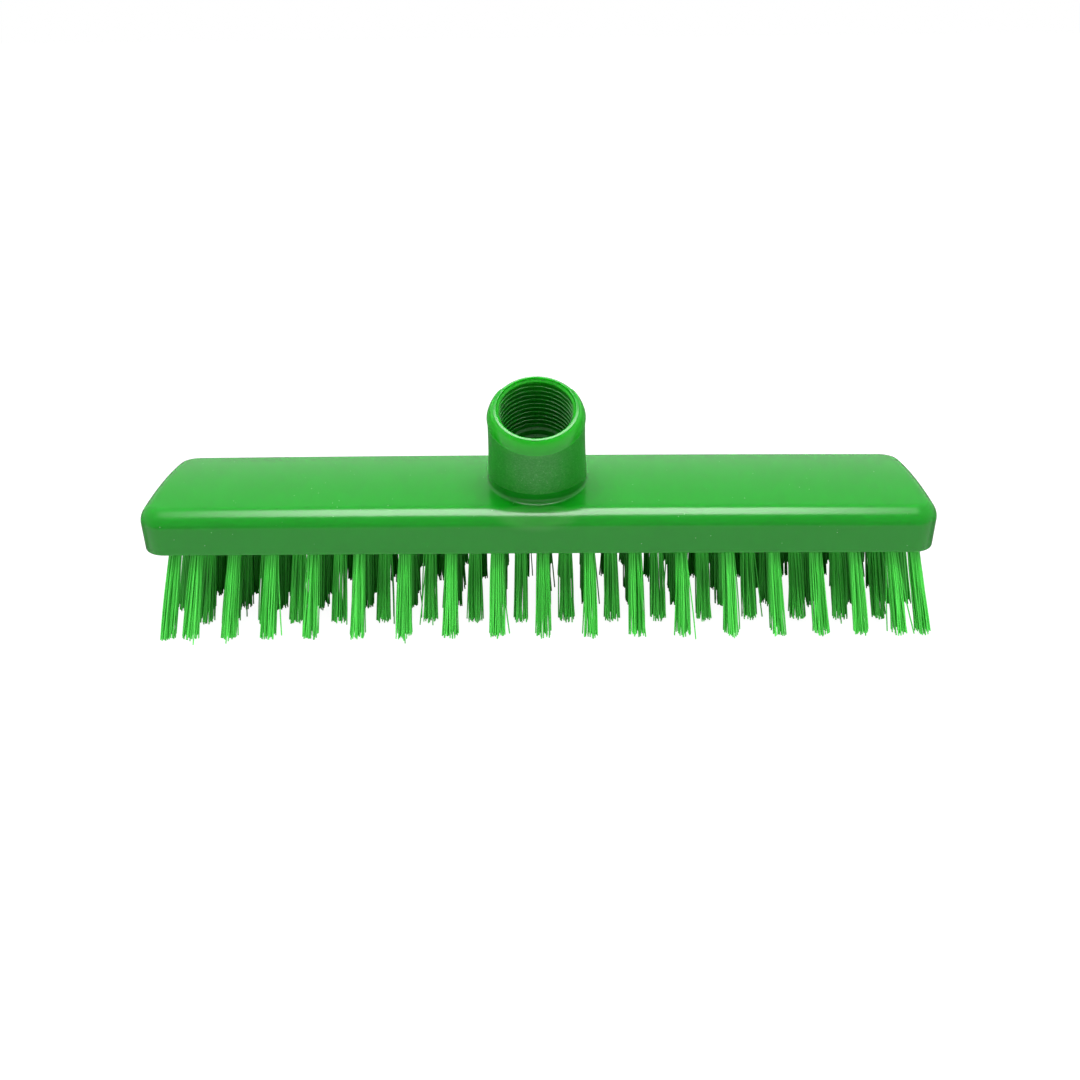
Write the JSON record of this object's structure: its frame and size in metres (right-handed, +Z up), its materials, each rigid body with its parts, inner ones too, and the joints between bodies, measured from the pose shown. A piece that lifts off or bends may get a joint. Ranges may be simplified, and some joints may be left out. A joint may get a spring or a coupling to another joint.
{
  "type": "deck brush head",
  "caption": "Rectangular moulded scrubbing head with a leaning threaded handle socket and fanned rows of stiff bristle tufts underneath.",
  "frame": {"origin": "on the floor, under the middle of the whole head, with every bristle tip at z = 0", "axes": "+X along the block, -Y towards the side that the handle socket leans to, +Z up"},
  "size_m": [0.3022, 0.0688, 0.1005],
  "materials": {
    "moulded_plastic": "semi-gloss moulding, faintly grained",
    "bristle_plastic": "drawn filaments with a soft sheen"
  },
  "bodies": {
    "root": {"brush_block": "moulded_plastic", "front_tufts_left_end": "bristle_plastic", "front_tufts_left": "bristle_plastic", "front_tufts_middle": "bristle_plastic", "front_tufts_right": "bristle_plastic", "front_tufts_right_end": "bristle_plastic", "second_tufts_left_end": "bristle_plastic", "second_tufts_left": "bristle_plastic", "second_tufts_middle": "bristle_plastic", "second_tufts_right": "bristle_plastic", "second_tufts_right_end": "bristle_plastic", "third_tufts_left_end": "bristle_plastic", "third_tufts_left": "bristle_plastic", "third_tufts_middle": "bristle_plastic", "third_tufts_right": "bristle_plastic", "third_tufts_right_end": "bristle_plastic", "fourth_tufts_left_end": "bristle_plastic", "fourth_tufts_left": "bristle_plastic", "fourth_tufts_middle": "bristle_plastic", "fourth_tufts_right": "bristle_plastic", "fourth_tufts_right_end": "bristle_plastic", "fifth_tufts_left_end": "bristle_plastic", "fifth_tufts_left": "bristle_plastic", "fifth_tufts_middle": "bristle_plastic", "fifth_tufts_right": "bristle_plastic", "fifth_tufts_right_end": "bristle_plastic", "back_tufts_left_end": "bristle_plastic", "back_tufts_left": "bristle_plastic", "back_tufts_middle": "bristle_plastic", "back_tufts_right": "bristle_plastic", "back_tufts_right_end": "bristle_plastic"}
  },
  "joints": []
}
